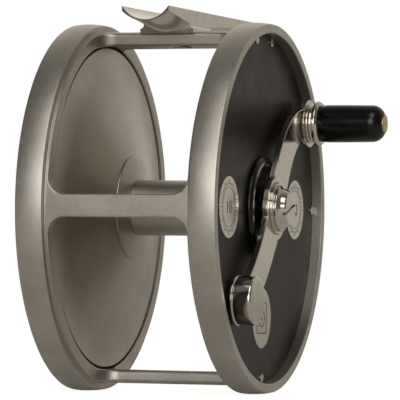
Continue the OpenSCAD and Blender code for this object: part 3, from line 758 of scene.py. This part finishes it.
dial_marks("near_disc_marks", -DISC_CENTRE_R, 0.0, "10")
dial_marks("far_disc_marks", DISC_CENTRE_R, 0.0, "20")
square_mark("lower_disc_mark", 0.0, -DISC_CENTRE_R)


# ---------------------------------------------------------------- materials of the CAD nodes that stay

KEPT = {
    "foot": FOOT_NICKEL, "foot_screws": STEEL, "face_plate": BLACK_PLATE, "face_screws": NICKEL,
    "number_disc_near": DISC_NICKEL, "number_disc_far": DISC_NICKEL, "badge_disc": DISC_NICKEL,
    "front_bearing_outer": STEEL, "front_bearing_balls": STEEL, "front_bearing_inner": STEEL,
    "rear_bearing_outer": STEEL, "rear_bearing_balls": STEEL, "rear_bearing_inner": STEEL,
    "rear_cover": BLACK_PLATE, "rear_screws": NICKEL, "pawl_pin": STEEL, "click_spring": STEEL,
    "click_pawl": STEEL, "click_wheel": STEEL, "drag_knob": NICKEL, "knob_retainer": STEEL,
    "pressure_plate": STEEL, "thrust_pins": STEEL, "drag_disc": CORK, "spindle": STEEL,
    "grip_bushes": BRASS,
}
for node, material in KEPT.items():
    slots = frame["nodes"][node].material_slots
    if not slots:
        raise ValueError(f"{node} has no material slot")
    for slot in slots:
        slot.material = material


# ---------------------------------------------------------------- floor, light and camera


def floor():
    """A pale round floor that looks brightly lit to the camera but adds little light to the reel."""
    radius, z, sides = 2.6, -0.11605, 96  # radius and height in metres
    angles = [TURN * k / sides for k in range(sides)]
    mesh = bpy.data.meshes.new("floor")
    edge = [(radius * math.cos(a), radius * math.sin(a), z) for a in angles]
    mesh.from_pydata(edge, [], [tuple(range(sides))])
    obj = add_to_scene("floor", mesh)
    n = Nodes("pale floor")
    path = n.add("ShaderNodeLightPath")
    glow = n.ramp(path.outputs["Is Camera Ray"], 0, 1, 0.10, 0.85)
    n.set(Base_Color=(0.58, 0.555, 0.51, 1), Roughness=0.9,
          Emission_Color=(1, 1, 1, 1), Emission_Strength=glow)
    mesh.materials.append(n.material)


def towards(azimuth, elevation):
    """The unit vector towards an azimuth, measured from -Y to +X, and an elevation, in degrees."""
    a, e = math.radians(azimuth), math.radians(elevation)
    return Vector((math.sin(a) * math.cos(e), -math.cos(a) * math.cos(e), math.sin(e)))


def area_light(name, azimuth, elevation, distance, width, height, power, colour):
    """A soft elliptical light that faces the reel's axle. Distances are in metres."""
    data = bpy.data.lights.new(name, "AREA")
    data.shape = "ELLIPSE"
    data.size, data.size_y = width, height
    data.energy = power
    data.color = colour
    obj = add_to_scene(name, data)
    back = towards(azimuth, elevation)
    obj.location = Vector((0, 0, AXLE_Z * MM)) + back * distance
    obj.rotation_mode = "QUATERNION"
    obj.rotation_quaternion = (-back).to_track_quat("-Z", "Y")
    obj.visible_camera = False


def world(base, lobes):
    """Soft studio surroundings: a dim base, broad lobes of light, and a white backdrop for the camera.

    Each lobe is an azimuth, an elevation, the angles of its full and its outer part, and a strength.
    """
    w = bpy.data.worlds.new("studio")
    bpy.context.scene.world = w
    w.use_nodes = True
    t = w.node_tree
    t.nodes.clear()
    coord = t.nodes.new("ShaderNodeTexCoord")

    dim = t.nodes.new("ShaderNodeValue")
    dim.outputs["Value"].default_value = base
    total = dim.outputs["Value"]
    for azimuth, elevation, inner, outer, strength in lobes:
        dot = t.nodes.new("ShaderNodeVectorMath")
        dot.operation = "DOT_PRODUCT"
        t.links.new(coord.outputs["Generated"], dot.inputs[0])
        dot.inputs[1].default_value = towards(azimuth, elevation)
        span = t.nodes.new("ShaderNodeMapRange")
        span.interpolation_type = "SMOOTHSTEP"
        span.inputs["From Min"].default_value = math.cos(math.radians(outer))
        span.inputs["From Max"].default_value = math.cos(math.radians(inner))
        span.inputs["To Max"].default_value = strength
        t.links.new(dot.outputs["Value"], span.inputs["Value"])
        add = t.nodes.new("ShaderNodeMath")
        t.links.new(total, add.inputs[0])
        t.links.new(span.outputs["Result"], add.inputs[1])
        total = add.outputs["Value"]
    soft = t.nodes.new("ShaderNodeBackground")
    t.links.new(total, soft.inputs["Strength"])
    soft.inputs["Color"].default_value = (1.0, 0.95, 0.85, 1)
    white = t.nodes.new("ShaderNodeBackground")
    path = t.nodes.new("ShaderNodeLightPath")
    white.inputs["Color"].default_value = (1, 1, 1, 1)
    mix = t.nodes.new("ShaderNodeMixShader")
    t.links.new(path.outputs["Is Camera Ray"], mix.inputs["Fac"])
    t.links.new(soft.outputs["Background"], mix.inputs[1])
    t.links.new(white.outputs["Background"], mix.inputs[2])
    out = t.nodes.new("ShaderNodeOutputWorld")
    t.links.new(mix.outputs["Shader"], out.inputs["Surface"])


def camera():
    """A long lens, turned from the square-on side view and almost level with the axle."""
    yaw, pitch, roll = math.radians(-18.44), math.radians(-0.75), math.radians(0.55)
    aside, away, above = 0.132, 20.0, 0.0436  # the camera's place from the axle, in rim radii
    rows = Matrix.Rotation(roll, 3, "Y") @ Matrix.Rotation(pitch, 3, "X") @ Matrix.Rotation(yaw, 3, "Z")
    right, forward, up = rows
    spot = rows.transposed() @ Vector((aside, -away, above)) * RIM_R * MM + Vector((0, 0, AXLE_Z * MM))
    data = bpy.data.cameras.new("camera")
    data.sensor_width = 36
    data.lens = 330.12  # millimetres, for the sensor's width
    data.clip_start, data.clip_end = 0.1, 30
    obj = add_to_scene("camera", data)
    basis = Matrix((right, up, -forward)).transposed()
    obj.matrix_world = Matrix.Translation(spot) @ basis.to_4x4()
    bpy.context.scene.camera = obj


floor()
area_light("key", azimuth=12, elevation=15, distance=1.3, width=1.0, height=0.75,
           power=5.6, colour=(1.0, 0.99, 0.975))
area_light("upper fill", azimuth=26, elevation=52, distance=1.3, width=0.9, height=0.8,
           power=3.5, colour=(1.0, 0.98, 0.95))
world(base=0.13, lobes=((180, 10, 20, 85, 0.36), (208, 4, 5, 46, 0.45)))
camera()
bpy.context.scene.view_settings.view_transform = "Standard"
